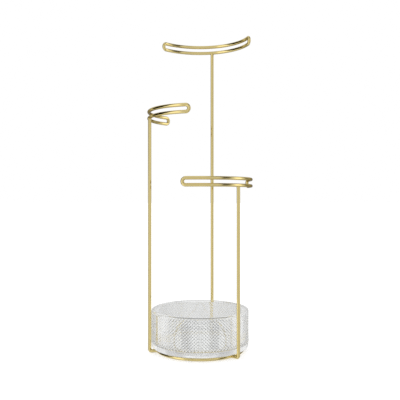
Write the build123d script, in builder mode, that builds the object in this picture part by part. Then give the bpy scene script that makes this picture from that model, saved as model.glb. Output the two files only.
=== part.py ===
from build123d import *

import os
from math import cos, degrees, radians, sin

# A jewellery stand with three tiers: a frame of plated wire that carries a round glass tray.
# Lengths are millimetres and angles degrees. +Z is up, the floor is Z = 0, the tray's axis is the
# Z axis, and the tall post stands at the back, on +Y.

# Wire frame
wire_diameter = 4.3
tall_height = 420.8
middle_height = 316.2
short_height = 227.5
tall_azimuth = 90.0
post_count = 3
foot_length = 11.0
foot_bend_inner_radius = 0.5

# Hangers: each is one closed loop of wire, bent round the tray's axis
hanger_slot = 4.2
hanger_half_angle = 60.0

# Weld beads, where a wire's end meets the side of another
weld_sink = 0.5
weld_length = 1.2
weld_root = 0.35
weld_toe = 0.08
weld_saddle_share = 0.6

# Glass tray
tray_radius = 64.5
tray_height = 49.8
tray_wall = 4.5
tray_floor = 6.0
tray_corner_radius = 3.0
tray_inner_corner_radius = 4.0
tray_clearance = 0.85
band_relief = 0.7
rim_band_height = 2.2
base_band_height = 7.3
rim_round_share = 0.47

# Clear pads under and over the base ring
pad_width = 3.4
pad_length = 9.0
pad_hug = 0.6
pad_corner_share = 0.3
floor_pad_thickness = 0.5
tray_pad_thickness = 0.4

# Places that follow from the sizes above
wire_radius = wire_diameter / 2
hanger_spacing = hanger_slot + wire_diameter
foot_bend_radius = foot_bend_inner_radius + wire_radius
stand_radius = tray_radius + tray_clearance + wire_radius
ring_radius = stand_radius - foot_length
ring_height = floor_pad_thickness + wire_radius
tray_bottom = ring_height + wire_radius + tray_pad_thickness
tray_top = tray_bottom + tray_height
post_step = 360.0 / post_count
pad_arc = degrees(pad_length / ring_radius)
ring_seam_azimuth = tall_azimuth + post_step / 4

# Each tier's name, top and place round the tray, in steps from the tall post
tiers = [
    ("tall", tall_height, 0),
    ("middle", middle_height, 1),
    ("short", short_height, 2),
]


def outward(azimuth):
    """The level direction from the tray's axis at this azimuth."""
    return Vector(cos(radians(azimuth)), sin(radians(azimuth)), 0)


def along(azimuth):
    """The level direction round the tray's axis at this azimuth, anticlockwise from above."""
    return Vector(-sin(radians(azimuth)), cos(radians(azimuth)), 0)


def radial_plane(azimuth):
    """The upright plane through the tray's axis: local X is the radius and local Y the height."""
    return Plane(origin=(0, 0, 0), x_dir=outward(azimuth), z_dir=-along(azimuth))


def place(azimuth, radius, height):
    """The point at this azimuth, radius and height."""
    return outward(azimuth) * radius + Vector(0, 0, height)


def keep(builder, name):
    """Labels a finished piece and writes its STEP file."""
    builder.part.label = name
    export_step(builder.part, f"parts/{name}.step")


def make_hanger(azimuth, lower):
    """A closed loop: two wires one above the other round the tray's axis, joined by a U bend at each end."""
    upper = lower + hanger_spacing
    first_end = azimuth - hanger_half_angle
    last_end = azimuth + hanger_half_angle
    with BuildPart() as hanger:
        with BuildSketch(radial_plane(first_end)):
            with Locations((stand_radius, lower), (stand_radius, upper)):
                Circle(wire_radius)
        revolve(axis=Axis.Z, revolution_arc=last_end - first_end)
        for end, turn in ((first_end, outward(first_end)), (last_end, -outward(last_end))):
            with BuildSketch(radial_plane(end)):
                with Locations((stand_radius, upper)):
                    Circle(wire_radius)
            bend_centre = place(end, stand_radius, (lower + upper) / 2)
            revolve(axis=Axis(bend_centre, turn), revolution_arc=180)
    return hanger


def make_post(azimuth, lower, hanger):
    """One bent wire: a foot that runs out from the base ring, then the upright to the hanger."""
    with BuildPart() as post:
        with BuildLine(radial_plane(azimuth)) as route:
            FilletPolyline(
                (ring_radius + wire_radius - weld_sink, ring_height),
                (stand_radius, ring_height),
                (stand_radius, lower - wire_radius + weld_sink),
                radius=foot_bend_radius,
            )
        with BuildSketch(Plane(origin=route.line @ 0, z_dir=route.line % 0)):
            Circle(wire_radius)
        sweep(path=route.line)
        add(base_ring.part, mode=Mode.SUBTRACT)
        add(hanger.part, mode=Mode.SUBTRACT)
    return post


def make_weld(bar_centre, stem_direction, azimuth, stem, bar):
    """The bead round a wire's end: a collar that flares from the stem onto the bar it meets."""
    joint = Plane(origin=bar_centre, x_dir=stem_direction, z_dir=along(azimuth))
    saddle = wire_radius * weld_saddle_share
    end = wire_radius + weld_length
    root_radius = wire_radius + weld_root
    toe_radius = wire_radius + weld_toe
    with BuildPart() as weld:
        with BuildSketch(joint):
            with BuildLine():
                flare = TangentArc((end, toe_radius), (saddle, root_radius), tangent=(-1, 0))
                Polyline(flare @ 1, (saddle, 0), (end, 0), flare @ 0)
            make_face()
        revolve(axis=Axis(bar_centre, stem_direction))
        add(stem.part, mode=Mode.SUBTRACT)
        add(bar.part, mode=Mode.SUBTRACT)
    return weld


def make_pad(azimuth, low, high):
    """A short clear strip that follows the base ring and hugs its wire."""
    with BuildPart() as pad:
        with BuildSketch(radial_plane(azimuth - pad_arc / 2)):
            with Locations((ring_radius, (low + high) / 2)):
                Rectangle(pad_width, high - low)
        revolve(axis=Axis.Z, revolution_arc=pad_arc)
        fillet(pad.edges().filter_by(Axis.Z), pad_width * pad_corner_share)
        add(base_ring.part, mode=Mode.SUBTRACT)
    return pad


os.makedirs("parts", exist_ok=True)

# The base ring lies under the tray, inside the circle of posts
with BuildPart() as base_ring:
    with BuildSketch(radial_plane(ring_seam_azimuth)):
        with Locations((ring_radius, ring_height)):
            Circle(wire_radius)
    revolve(axis=Axis.Z)
keep(base_ring, "base_ring")

# Each tier is a post, its hanger, and the weld beads at the post's two ends
for tier, top, steps in tiers:
    tier_azimuth = tall_azimuth + steps * post_step
    lower_wire = top - wire_radius - hanger_spacing
    tier_hanger = make_hanger(tier_azimuth, lower_wire)
    tier_post = make_post(tier_azimuth, lower_wire, tier_hanger)
    hanger_joint = place(tier_azimuth, stand_radius, lower_wire)
    foot_joint = place(tier_azimuth, ring_radius, ring_height)
    hanger_weld = make_weld(hanger_joint, Vector(0, 0, -1), tier_azimuth, tier_post, tier_hanger)
    foot_weld = make_weld(foot_joint, outward(tier_azimuth), tier_azimuth, tier_post, base_ring)
    keep(tier_hanger, f"{tier}_hanger")
    keep(tier_post, f"{tier}_post")
    keep(hanger_weld, f"{tier}_hanger_weld")
    keep(foot_weld, f"{tier}_foot_weld")

# Pads lie midway between the posts, one on the floor side and one on the tray side of the ring
ring_bottom = ring_height - wire_radius
ring_top = ring_height + wire_radius
for steps in range(post_count):
    pad_azimuth = tall_azimuth + post_step / 2 + steps * post_step
    keep(make_pad(pad_azimuth, 0, ring_bottom + pad_hug), f"floor_pad_{steps + 1}")
    keep(make_pad(pad_azimuth, ring_top - pad_hug, tray_bottom), f"tray_pad_{steps + 1}")

# The glass tray is a turned shape: a plain base band, a raised middle band and a plain round rim
plain_radius = tray_radius - band_relief
inner_radius = tray_radius - tray_wall
band_bottom = tray_bottom + base_band_height
band_top = tray_top - rim_band_height
floor_top = tray_bottom + tray_floor
rim_round = (plain_radius - inner_radius) * rim_round_share
with BuildPart() as glass_tray:
    with BuildSketch(Plane.XZ) as tray_section:
        with BuildLine():
            Polyline(
                (0, tray_bottom),
                (plain_radius, tray_bottom),
                (plain_radius, band_bottom),
                (tray_radius, band_bottom + band_relief),
                (tray_radius, band_top - band_relief),
                (plain_radius, band_top),
                (plain_radius, tray_top),
                (inner_radius, tray_top),
                (inner_radius, floor_top),
                (0, floor_top),
                close=True,
            )
        make_face()
        outer_corner = Vector(plain_radius, tray_bottom)
        fillet(tray_section.vertices().sort_by_distance(outer_corner)[0], tray_corner_radius)
        inner_corner = Vector(inner_radius, floor_top)
        fillet(tray_section.vertices().sort_by_distance(inner_corner)[0], tray_inner_corner_radius)
        fillet(tray_section.vertices().group_by(Axis.Y)[-1], rim_round)
    revolve(axis=Axis.Z)
keep(glass_tray, "glass_tray")
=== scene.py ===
from math import cos, pi, radians, sin

import bmesh
import bpy
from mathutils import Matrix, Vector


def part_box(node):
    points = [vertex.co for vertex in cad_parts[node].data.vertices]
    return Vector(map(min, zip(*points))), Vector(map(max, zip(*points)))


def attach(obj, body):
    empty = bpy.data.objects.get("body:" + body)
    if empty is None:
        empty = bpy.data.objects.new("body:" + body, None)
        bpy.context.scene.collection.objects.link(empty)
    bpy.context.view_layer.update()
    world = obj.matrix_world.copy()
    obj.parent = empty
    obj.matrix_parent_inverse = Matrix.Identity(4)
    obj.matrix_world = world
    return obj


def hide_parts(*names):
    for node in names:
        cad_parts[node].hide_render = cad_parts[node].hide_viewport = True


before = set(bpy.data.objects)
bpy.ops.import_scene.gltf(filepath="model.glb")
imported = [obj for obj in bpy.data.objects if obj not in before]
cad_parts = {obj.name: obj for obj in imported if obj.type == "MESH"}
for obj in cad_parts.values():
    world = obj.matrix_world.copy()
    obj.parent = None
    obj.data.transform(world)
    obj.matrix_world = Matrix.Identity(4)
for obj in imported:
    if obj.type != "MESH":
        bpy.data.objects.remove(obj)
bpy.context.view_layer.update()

# Lengths are metres and angles degrees, in the frame of the CAD model.

# The glass tray: its outside comes from the frame, and these are the sizes of its section
TRAY_LOW, TRAY_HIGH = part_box("glass_tray")
TRAY_RADIUS = TRAY_HIGH[0]
TRAY_BOTTOM = TRAY_LOW[2]
TRAY_TOP = TRAY_HIGH[2]
TRAY_WALL = 0.0045
TRAY_FLOOR = 0.0060
TRAY_CORNER = 0.0030
TRAY_INNER_CORNER = 0.0040
PLAIN_RELIEF = 0.0007
RIM_BAND = 0.0022
BASE_BAND = 0.0073
GLASS_SEGMENTS = 192
ARC_STEP = 9.0
MERGE_DISTANCE = 0.000001

# The knurl round the tray: four-sided points between two sets of crossing grooves
KNURL_AROUND = 96
KNURL_ROWS = 10
KNURL_DEPTH = 0.0012
KNURL_EASE = 0.00009
LEAST_SLANT = 0.1
EASED_ANGLE = 25.0
SMOOTH_ANGLE = 16.0

# Brass: two tones that cloud into each other, the tint at its edges, and lines drawn along the wire
BRASS_TONES = ((0.79, 0.648, 0.276, 1.0), (0.84, 0.698, 0.322, 1.0))
BRASS_EDGE_TINT = (0.50, 0.44, 0.33, 1.0)
BRASS_CLOUDS = 90.0
BRASS_LINES = 2600.0
BRASS_LINE_STRETCH = 0.01
BRASS_ROUGHNESS = 0.02
BRASS_ROUGHER = 0.03
BRASS_BUMP = 0.02
BRASS_BUMP_HEIGHT = 0.0002

# Glass: two faint tints, waves from the mould and a fine haze
GLASS_TINTS = ((0.975, 0.985, 0.980, 1.0), (0.985, 0.990, 0.988, 1.0))
GLASS_IOR = 1.5
GLASS_WAVES = 70.0
GLASS_HAZE = 220.0
GLASS_ROUGHNESS = 0.02
GLASS_ROUGHER = 0.03
GLASS_BUMP = 0.10
GLASS_BUMP_HEIGHT = 0.001

# Silicone: two cloudy tints and the grain of its moulded skin
SILICONE_TINTS = ((0.95, 0.96, 0.95, 1.0), (0.98, 0.98, 0.98, 1.0))
SILICONE_ALPHA = 0.35
SILICONE_IOR = 1.41
SILICONE_CLOUDS = 500.0
SILICONE_GRAIN = 4000.0
SILICONE_ROUGHNESS = 0.18
SILICONE_ROUGHER = 0.12
SILICONE_BUMP = 0.15
SILICONE_BUMP_HEIGHT = 0.0001

# The camera stands level, a little below half the stand's height
CAMERA_AZIMUTH = 15.0
CAMERA_DISTANCE = 0.748
CAMERA_HEIGHT = 0.1992
CAMERA_LEVEL = 90.0
CAMERA_TILT = -0.063
CAMERA_LENS = 50.73
CAMERA_SENSOR = 36.0
CAMERA_REACH = 200.0

# The white floor glows a little, so that it stays paler than the tent round it
FLOOR_SIZE = 60.0
FLOOR_TONE = 0.80
FLOOR_GLOW = 0.55
WHITE = (1.0, 1.0, 1.0, 1.0)

# The light is a pale tent. The floor and the pads take one even tone from it
TENT_LIGHT = 0.86
IN_DEGREES = 180 / pi

# The glass and the brass show the tent's wall with soft-edged panels on it, and each row here is one panel:
# its brightness, its start and end in degrees round from the camera, its low and high edge in degrees up
# from level, and how soft its edges are. Degrees round count to both sides alike, but in MIRRORED_SIDES
# they count to the right and are negative to the left.

# Seen through one wall of the glass
ONE_WALL = 0.86
ONE_WALL_PANELS = [
    (0.98, 60, 130, -70, 45, 4),
    (0.64, 150, 190, -45, 45, 3),
    (0.90, 168, 190, -24, 24, 3),
    (0.20, -10, 190, 24, 66, 5),
]

# Seen through both walls of the glass, by a ray that has crossed more faces than one wall has
FACES_OF_ONE_WALL = 2.5
TWO_WALLS = 0.85
TWO_WALLS_PANELS = [
    (1.05, 125, 166, -8, 9, 2),
    (0.93, 125, 170, -60, -17, 1),
    (0.30, 163, 190, -60, -17, 1),
    (0.30, 154.5, 160, -60, -17, 1),
]

# Mirrored by the brass: a dim back, then a soft box and a dark gap or two at each side
MIRRORED = 0.82
MIRRORED_BACK = [
    (0.45, 132, 190, -36, 14, 6),
    (0.30, 155, 190, -75, -42, 5),
]
MIRRORED_SIDES = [
    (0.68, -40, 40, -60, 60, 8),
    (1.30, -72, -44, -40, 32, 5),
    (0.01, -125, -84, -26, 56, 4),
    (0.01, -90, -72, 3, 56, 4),
    (0.20, 50, 72, -80, 52, 5),
    (1.65, 81, 102, -14, 32, 5),
    (0.28, 113, 134, -16, 30, 5),
    (0.02, 58, 126, 40, 82, 6),
]

# A ray may turn many times inside the glass before it comes out
GLASS_TURNS = 32
MIRROR_TURNS = 16


class Value:
    """A shader socket that can stand in an expression: each operator adds one Math node."""

    def __init__(self, nodes, socket):
        self.nodes = nodes
        self.socket = socket

    def __add__(self, other):
        return self.nodes.maths("ADD", self, other)

    def __sub__(self, other):
        return self.nodes.maths("SUBTRACT", self, other)

    def __rsub__(self, other):
        return self.nodes.maths("SUBTRACT", other, self)

    def __mul__(self, other):
        return self.nodes.maths("MULTIPLY", self, other)

    def __pow__(self, other):
        return self.nodes.maths("POWER", self, other)

    __radd__ = __add__
    __rmul__ = __mul__


class Nodes:
    """The nodes of one material, or of the world."""

    def __init__(self, owner):
        owner.use_nodes = True
        self.tree = owner.node_tree

    def add(self, kind, settings, inputs, output=0):
        """Adds a node, sets its settings, then fills its sockets with numbers or links."""
        made = self.tree.nodes.new(kind)
        for name, setting in settings.items():
            setattr(made, name, setting)
        for name, value in inputs.items():
            self.feed(made.inputs[name], value)
        return Value(self, made.outputs[output])

    def feed(self, socket, value):
        """Links a value to a socket, or sets the socket to a number, colour or vector."""
        if isinstance(value, Value):
            self.tree.links.new(value.socket, socket)
        else:
            socket.default_value = value

    def maths(self, operation, first, second=0.0):
        """A Math node. An operation on one number leaves the second unused."""
        return self.add("ShaderNodeMath", {"operation": operation}, {0: first, 1: second})

    def place(self):
        """The point on the surface, in metres."""
        return self.add("ShaderNodeTexCoord", {}, {}, "Object")

    def parts(self, vector):
        """The three numbers of a vector."""
        split = self.add("ShaderNodeSeparateXYZ", {}, {"Vector": vector}).socket.node
        return [Value(self, socket) for socket in split.outputs]

    def vector(self, x, y, z):
        return self.add("ShaderNodeCombineXYZ", {}, {"X": x, "Y": y, "Z": z})

    def noise(self, vector, scale):
        """Soft noise from 0 to 1."""
        return self.add("ShaderNodeTexNoise", {}, {"Vector": vector, "Scale": scale})

    def mix(self, factor, colours):
        """A colour between two colours."""
        first, second = colours
        settings = {"data_type": "RGBA"}
        return self.add("ShaderNodeMix", settings, {"Factor": factor, "A": first, "B": second}, "Result")

    def ramp(self, value, low, high):
        """0 at low and 1 at high, with an eased change between them. Low can be the larger."""
        settings = {"interpolation_type": "SMOOTHSTEP"}
        return self.add("ShaderNodeMapRange", settings, {"Value": value, "From Min": low, "From Max": high})

    def bump(self, height, strength, distance):
        """A fine relief for a surface's Normal socket."""
        inputs = {"Strength": strength, "Distance": distance, "Height": height}
        return self.add("ShaderNodeBump", {}, inputs, "Normal")


def new_finish(name, **sockets):
    """A material, with the surface sockets that are the same all over."""
    material = bpy.data.materials.new(name)
    nodes = Nodes(material)
    surface = nodes.tree.nodes["Principled BSDF"]
    for socket, value in sockets.items():
        surface.inputs[socket.replace("_", " ")].default_value = value
    return material, nodes, surface


def vary(nodes, surface, tone, roughness, normal):
    """Feeds a surface what changes over it."""
    nodes.feed(surface.inputs["Base Color"], tone)
    nodes.feed(surface.inputs["Roughness"], roughness)
    nodes.feed(surface.inputs["Normal"], normal)


def brass_finish(name, upright):
    """Bright pale brass plate on drawn wire, with fine lines along the wire and faint handling marks."""
    material, nodes, surface = new_finish(name, Metallic=1.0, Specular_Tint=BRASS_EDGE_TINT)
    place = nodes.place()
    x, y, z = nodes.parts(place)
    if upright:
        across = nodes.vector(x, y, z * BRASS_LINE_STRETCH)
    else:
        radius = (x * x + y * y) ** 0.5
        across = nodes.vector(radius, z, 0.0)
    lines = nodes.noise(across, BRASS_LINES)
    clouds = nodes.noise(place, BRASS_CLOUDS)
    roughness = BRASS_ROUGHNESS + lines * BRASS_ROUGHER + clouds * BRASS_ROUGHER
    normal = nodes.bump(lines, BRASS_BUMP, BRASS_BUMP_HEIGHT)
    vary(nodes, surface, nodes.mix(clouds, BRASS_TONES), roughness, normal)
    return material


def glass_finish():
    """Clear pressed glass: a little unevenness where it met the mould, and faint clouding."""
    material, nodes, surface = new_finish("clear_pressed_glass", Transmission_Weight=1.0, IOR=GLASS_IOR)
    place = nodes.place()
    waves = nodes.noise(place, GLASS_WAVES)
    haze = nodes.noise(place, GLASS_HAZE)
    roughness = GLASS_ROUGHNESS + haze * GLASS_ROUGHER
    normal = nodes.bump(waves, GLASS_BUMP, GLASS_BUMP_HEIGHT)
    vary(nodes, surface, nodes.mix(waves, GLASS_TINTS), roughness, normal)
    return material


def silicone_finish():
    """Clear soft silicone, slightly cloudy, with a moulded skin."""
    material, nodes, surface = new_finish("clear_silicone_skin", Alpha=SILICONE_ALPHA, IOR=SILICONE_IOR)
    place = nodes.place()
    clouds = nodes.noise(place, SILICONE_CLOUDS)
    grain = nodes.noise(place, SILICONE_GRAIN)
    roughness = SILICONE_ROUGHNESS + grain * SILICONE_ROUGHER
    normal = nodes.bump(grain, SILICONE_BUMP, SILICONE_BUMP_HEIGHT)
    vary(nodes, surface, nodes.mix(clouds, SILICONE_TINTS), roughness, normal)
    return material


def dress(names, material):
    """Gives CAD nodes their finish."""
    for name in names:
        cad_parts[name].data.materials.clear()
        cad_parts[name].data.materials.append(material)


def deselect_objects():
    bpy.ops.object.select_all(action="DESELECT")


def start_editing():
    """Edits the active object, by its edges."""
    bpy.ops.object.mode_set(mode="EDIT")
    bpy.ops.mesh.select_mode(type="EDGE")


def stop_editing():
    bpy.ops.object.mode_set(mode="OBJECT")


def choose(kind, wanted):
    """Selects the vertices, edges or faces of the mesh in hand that are wanted, and no others."""
    bpy.ops.mesh.select_mode(type={"verts": "VERT", "edges": "EDGE", "faces": "FACE"}[kind])
    bpy.ops.mesh.select_all(action="DESELECT")
    mesh = bmesh.from_edit_mesh(bpy.context.object.data)
    for item in getattr(mesh, kind):
        if wanted(item):
            item.select_set(True)
    mesh.select_flush_mode()
    bmesh.update_edit_mesh(bpy.context.object.data)


def height_of(edge):
    return (edge.verts[0].co.z + edge.verts[1].co.z) / 2


def runs_straight(edge):
    """Whether an edge inside the band runs level or upright, and so isn't a groove."""
    first, last = (vert.co for vert in edge.verts)
    rise = abs(last.z - first.z)
    turn = (last.xy - first.xy).length
    return not edge.is_boundary and min(rise, turn) < LEAST_SLANT * max(rise, turn)


def make_knurl_band(bottom, top):
    """A round wall of four-sided points, cut in half along its top and bottom edges."""
    row = (top - bottom) / KNURL_ROWS
    groove_radius = TRAY_RADIUS - KNURL_DEPTH
    deselect_objects()
    bpy.ops.mesh.primitive_circle_add(vertices=KNURL_AROUND, radius=groove_radius, location=(0, 0, bottom))
    bpy.ops.object.transform_apply()
    start_editing()
    for _ in range(KNURL_ROWS):
        bpy.ops.mesh.extrude_edges_move(TRANSFORM_OT_translate={"value": (0, 0, row)})
    bpy.ops.mesh.select_all(action="SELECT")
    bpy.ops.mesh.normals_make_consistent(inside=False)
    # Crossing grooves: each cell gets its two diagonals, and the straight edges go
    bpy.ops.mesh.poke()
    choose("edges", runs_straight)
    bpy.ops.mesh.dissolve_edges(use_verts=False)
    choose("edges", lambda edge: edge.is_boundary)
    bpy.ops.mesh.subdivide(number_cuts=1)
    # Points: the middle of each whole diamond is pulled out, and of each half diamond at an edge
    choose("faces", lambda face: len(face.verts) == 4)
    bpy.ops.mesh.poke(offset=KNURL_DEPTH)
    choose("verts", lambda vert: vert.is_boundary and len(vert.link_edges) == 3)
    reach = TRAY_RADIUS / (groove_radius * cos(pi / KNURL_AROUND))
    bpy.ops.transform.resize(value=(reach, reach, 1), center_override=(0, 0, 0))
    stop_editing()
    return bpy.context.object


def arc(centre, radius, first, last):
    """Points of a round corner in the tray's section, from one angle to another."""
    steps = round(abs(last - first) / ARC_STEP)
    angles = [radians(first + (last - first) * step / steps) for step in range(steps + 1)]
    return [(centre[0] + radius * cos(angle), centre[1] + radius * sin(angle)) for angle in angles]


def make_turned(section):
    """Turns a section of (radius, height) points once round the tray's axis."""
    deselect_objects()
    bpy.ops.mesh.primitive_plane_add()
    start_editing()
    bpy.ops.mesh.select_mode(type="VERT")
    bpy.ops.mesh.merge(type="CENTER")
    bpy.ops.transform.translate(value=(section[0][0], 0, section[0][1]))
    for (radius, height), (next_radius, next_height) in zip(section, section[1:]):
        step = (next_radius - radius, 0, next_height - height)
        bpy.ops.mesh.extrude_vertices_move(TRANSFORM_OT_translate={"value": step})
    bpy.ops.mesh.select_all(action="SELECT")
    bpy.ops.mesh.spin(steps=GLASS_SEGMENTS, angle=2 * pi, center=(0, 0, 0), axis=(0, 0, 1))
    bpy.ops.mesh.select_all(action="SELECT")
    bpy.ops.mesh.remove_doubles(threshold=MERGE_DISTANCE)
    stop_editing()
    return bpy.context.object


def make_tray():
    """The pressed-glass tray: a plain foot, the knurled band, a plain round rim and a smooth inside."""
    plain_radius = TRAY_RADIUS - PLAIN_RELIEF
    inner_radius = TRAY_RADIUS - TRAY_WALL
    floor_top = TRAY_BOTTOM + TRAY_FLOOR
    band_bottom = TRAY_BOTTOM + BASE_BAND
    band_top = TRAY_TOP - RIM_BAND
    lip = (plain_radius - inner_radius) / 2
    inner_corner = (inner_radius - TRAY_INNER_CORNER, floor_top + TRAY_INNER_CORNER)
    outer_corner = (plain_radius - TRAY_CORNER, TRAY_BOTTOM + TRAY_CORNER)
    cup = [(plain_radius, band_top)]
    cup += arc((inner_radius + lip, TRAY_TOP - lip), lip, 0, 180)
    cup += arc(inner_corner, TRAY_INNER_CORNER, 0, -90)
    cup += [(0, floor_top)]
    foot = [(plain_radius, band_bottom)]
    foot += arc(outer_corner, TRAY_CORNER, 0, -90)
    foot += [(0, TRAY_BOTTOM)]
    band = make_knurl_band(band_bottom + PLAIN_RELIEF, band_top - PLAIN_RELIEF)
    rim_and_inside = make_turned(cup)
    base = make_turned(foot)
    deselect_objects()
    for piece in (base, rim_and_inside, band):
        piece.select_set(True)
    bpy.context.view_layer.objects.active = band
    bpy.ops.object.join()
    start_editing()
    middle = (band_bottom + band_top) / 2
    choose("edges", lambda edge: edge.is_boundary and height_of(edge) > middle)
    bpy.ops.mesh.bridge_edge_loops()
    choose("edges", lambda edge: edge.is_boundary and height_of(edge) < middle)
    bpy.ops.mesh.bridge_edge_loops()
    bpy.ops.mesh.select_all(action="SELECT")
    bpy.ops.mesh.normals_make_consistent(inside=False)
    stop_editing()
    tray = bpy.context.object
    tray.name = "knurled_glass_tray"
    ease = tray.modifiers.new("eased_knurl", "BEVEL")
    ease.width = KNURL_EASE
    ease.segments = 1
    ease.limit_method = "ANGLE"
    ease.angle_limit = radians(EASED_ANGLE)
    bpy.ops.object.modifier_apply(modifier=ease.name)
    bpy.ops.object.shade_smooth_by_angle(angle=radians(SMOOTH_ANGLE))
    return tray


def make_floor():
    """A plain white floor that takes the stand's soft shadow. The glass and the brass don't show it."""
    deselect_objects()
    bpy.ops.mesh.primitive_plane_add(size=FLOOR_SIZE)
    floor = bpy.context.object
    floor.name = "studio_floor"
    material, _, _ = new_finish(
        "matt_white_floor",
        Base_Color=(FLOOR_TONE, FLOOR_TONE, FLOOR_TONE, 1.0),
        Roughness=1.0,
        Specular_IOR_Level=0.0,
        Emission_Color=WHITE,
        Emission_Strength=FLOOR_GLOW,
    )
    floor.data.materials.append(material)
    floor.visible_diffuse = False
    floor.visible_glossy = False
    floor.visible_shadow = False
    floor.visible_transmission = False


def make_world():
    """A pale tent of soft light with panels for the glass and the brass. The camera sees plain white."""
    world = bpy.data.worlds.new("studio")
    bpy.context.scene.world = world
    nodes = Nodes(world)
    x, y, z = nodes.parts(nodes.add("ShaderNodeTexCoord", {}, {}, "Generated"))
    turn = radians(CAMERA_AZIMUTH)
    right = x * cos(turn) + y * sin(turn)
    front = x * sin(turn) - y * cos(turn)
    around = nodes.maths("ARCTAN2", right, front) * IN_DEGREES
    aside = nodes.maths("ABSOLUTE", around)
    up = nodes.maths("ARCSINE", z) * IN_DEGREES

    def within(direction, start, end, edge):
        """1 between two directions and 0 outside them, with soft edges."""
        after_start = nodes.ramp(direction, start - edge, start + edge)
        before_end = nodes.ramp(direction, end + edge, end - edge)
        return after_start * before_end

    def hang(panels, tone, direction):
        """The tone of the tent with these panels hung in front of it."""
        for level, start, end, low, high, edge in panels:
            panel = within(direction, start, end, edge) * within(up, low, high, edge)
            tone = tone * (1 - panel) + panel * level
        return tone

    def ray(fact):
        return nodes.add("ShaderNodeLightPath", {}, {}, fact)

    seen = ray("Is Camera Ray")
    through = ray("Is Transmission Ray")
    mirrored = ray("Is Glossy Ray") * (1 - through)
    both_walls = nodes.maths("GREATER_THAN", ray("Transmission Depth"), FACES_OF_ONE_WALL)
    one_wall = hang(ONE_WALL_PANELS, ONE_WALL, aside) * (1 - both_walls)
    two_walls = hang(TWO_WALLS_PANELS, TWO_WALLS, aside) * both_walls
    mirror = hang(MIRRORED_SIDES, hang(MIRRORED_BACK, MIRRORED, aside), around)
    even = TENT_LIGHT * (1 - through - mirrored)
    tent = even + (one_wall + two_walls) * through + mirror * mirrored
    background = nodes.tree.nodes["Background"]
    nodes.feed(background.inputs["Color"], tent * (1 - seen) + seen)
    background.inputs["Strength"].default_value = 1.0


def make_camera():
    lens = bpy.data.cameras.new("camera")
    lens.lens = CAMERA_LENS
    lens.sensor_width = CAMERA_SENSOR
    lens.clip_end = CAMERA_REACH
    camera = bpy.data.objects.new("camera", lens)
    bpy.context.scene.collection.objects.link(camera)
    turn = radians(CAMERA_AZIMUTH)
    camera.location = (CAMERA_DISTANCE * sin(turn), -CAMERA_DISTANCE * cos(turn), CAMERA_HEIGHT)
    camera.rotation_euler = (radians(CAMERA_LEVEL + CAMERA_TILT), 0, turn)
    bpy.context.scene.camera = camera


# The wire frame and its pads keep their CAD shapes and get their finishes
TIERS = ("tall", "middle", "short")
dress(["base_ring", *(f"{tier}_hanger" for tier in TIERS)], brass_finish("brass_bent_wire", upright=False))
dress([f"{tier}_post" for tier in TIERS], brass_finish("brass_upright_wire", upright=True))
welds = [f"{tier}_{joint}_weld" for tier in TIERS for joint in ("hanger", "foot")]
dress(welds, brass_finish("brass_weld_bead", upright=True))
pads = [f"{place}_pad_{number}" for place in ("floor", "tray") for number in (1, 2, 3)]
dress(pads, silicone_finish())

# The knurled tray takes the place of the plain one
tray = make_tray()
tray.data.materials.append(glass_finish())
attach(tray, "tray")
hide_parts("glass_tray")

# The studio
make_floor()
make_world()
make_camera()
scene = bpy.context.scene
scene.view_settings.view_transform = "Standard"
scene.cycles.use_denoising = False
scene.cycles.max_bounces = GLASS_TURNS
scene.cycles.transmission_bounces = GLASS_TURNS
scene.cycles.glossy_bounces = MIRROR_TURNS
